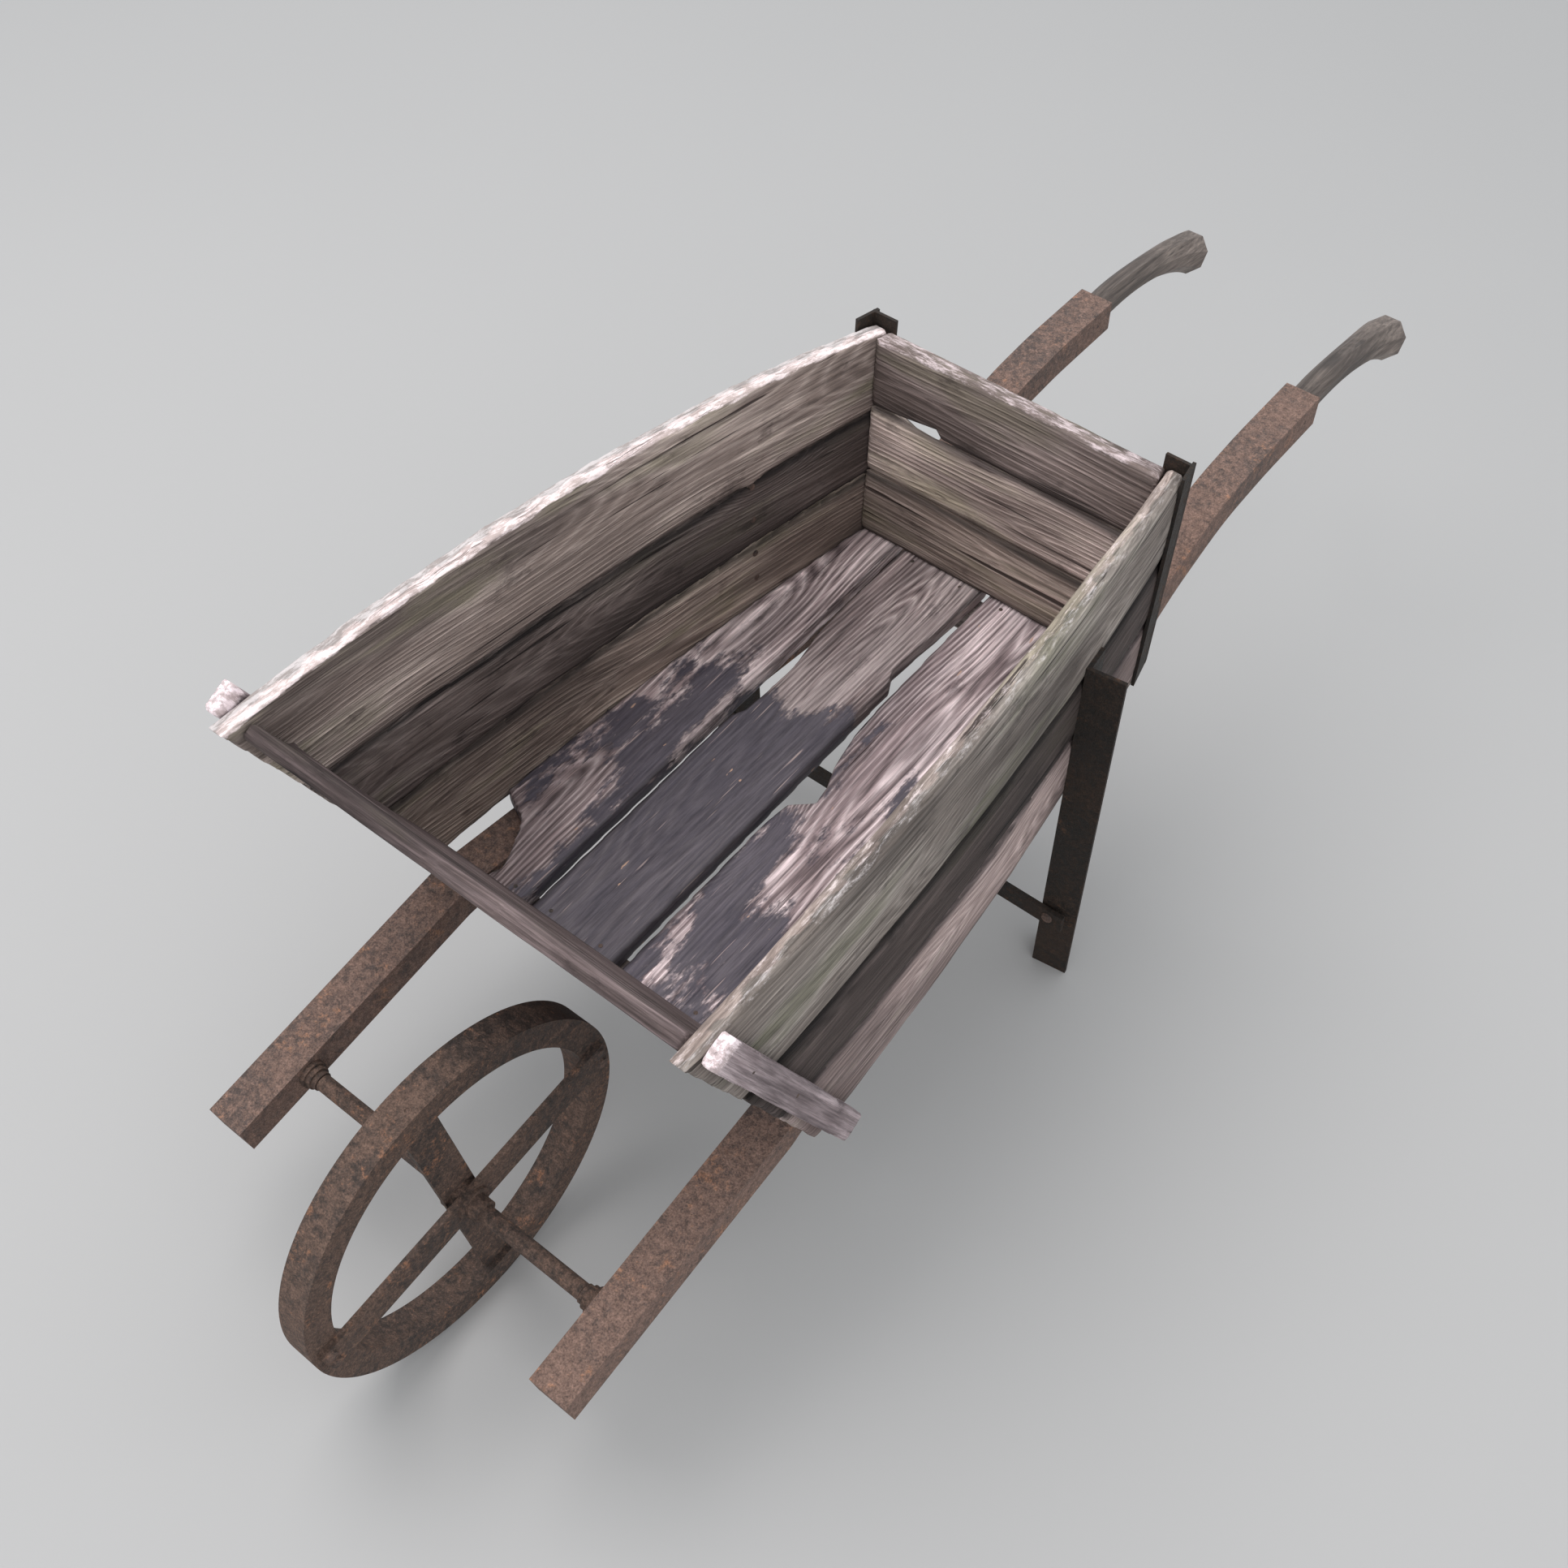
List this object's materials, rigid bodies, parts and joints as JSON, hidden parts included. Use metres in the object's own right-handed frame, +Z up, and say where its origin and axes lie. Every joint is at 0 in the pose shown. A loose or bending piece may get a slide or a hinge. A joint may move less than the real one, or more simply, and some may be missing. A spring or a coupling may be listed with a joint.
{
  "type": "wooden wheelbarrow",
  "caption": "Old farm wheelbarrow: tapered board tray on bent iron shafts, with an iron wheel in front, angle-iron legs and wooden grips.",
  "frame": {"origin": "on the ground under the middle of the whole barrow's box", "axes": "+Z up, +Y from the wheel towards the grips, +X to the left of someone who stands at the grips and looks at the wheel"},
  "size_m": [0.6018, 1.864, 0.6791],
  "materials": {
    "weathered_wood": "bare, grey, deeply weathered boards",
    "grip_wood": "bare wood worn smooth by hands",
    "rusty_iron": "dark iron with a dry brown rust",
    "wheel_iron": "dark iron with a dry brown rust",
    "nail_iron": "rusted nails, rivets and pins"
  },
  "bodies": {
    "barrow": {"axle_bearing_left": "rusty_iron", "axle_bearing_right": "rusty_iron", "batten_nails": "nail_iron", "bearer_lag_screws": "nail_iron", "brace_rivets": "nail_iron", "corner_iron_left": "rusty_iron", "corner_iron_nails": "nail_iron", "corner_iron_right": "rusty_iron", "floor_nails": "nail_iron", "floor_plank_inner_left": "weathered_wood", "floor_plank_inner_right": "weathered_wood", "floor_plank_outer_left": "weathered_wood", "floor_plank_outer_right": "weathered_wood", "front_batten_left": "weathered_wood", "front_batten_right": "weathered_wood", "front_bearer": "weathered_wood", "front_board_bottom": "weathered_wood", "front_board_middle": "weathered_wood", "front_board_nails": "nail_iron", "front_board_top": "weathered_wood", "grip_left": "grip_wood", "grip_pins": "nail_iron", "grip_right": "grip_wood", "leg_brace": "rusty_iron", "leg_left": "rusty_iron", "leg_right": "rusty_iron", "leg_rivets": "nail_iron", "rear_bearer": "weathered_wood", "rear_board_bottom": "weathered_wood", "rear_board_middle": "weathered_wood", "rear_board_top": "weathered_wood", "shaft_left": "rusty_iron", "shaft_right": "rusty_iron", "side_board_bottom_left": "weathered_wood", "side_board_bottom_right": "weathered_wood", "side_board_middle_left": "weathered_wood", "side_board_middle_right": "weathered_wood", "side_board_top_left": "weathered_wood", "side_board_top_right": "weathered_wood"},
    "wheel": {"wheel_rim": "wheel_iron", "long_spoke": "wheel_iron", "cross_spoke": "wheel_iron", "hub_spacer": "wheel_iron", "hub_collar_left": "wheel_iron", "hub_collar_right": "wheel_iron", "hub_pins": "nail_iron", "axle": "wheel_iron", "spoke_rivets": "nail_iron", "tread_rivets": "nail_iron"}
  },
  "joints": [
    {"name": "wheel_spin", "type": "hinge", "parent": "barrow", "child": "wheel", "pos_m": [0, -0.721, 0.211], "axis": [1, 0, 0], "continuous": true}
  ]
}
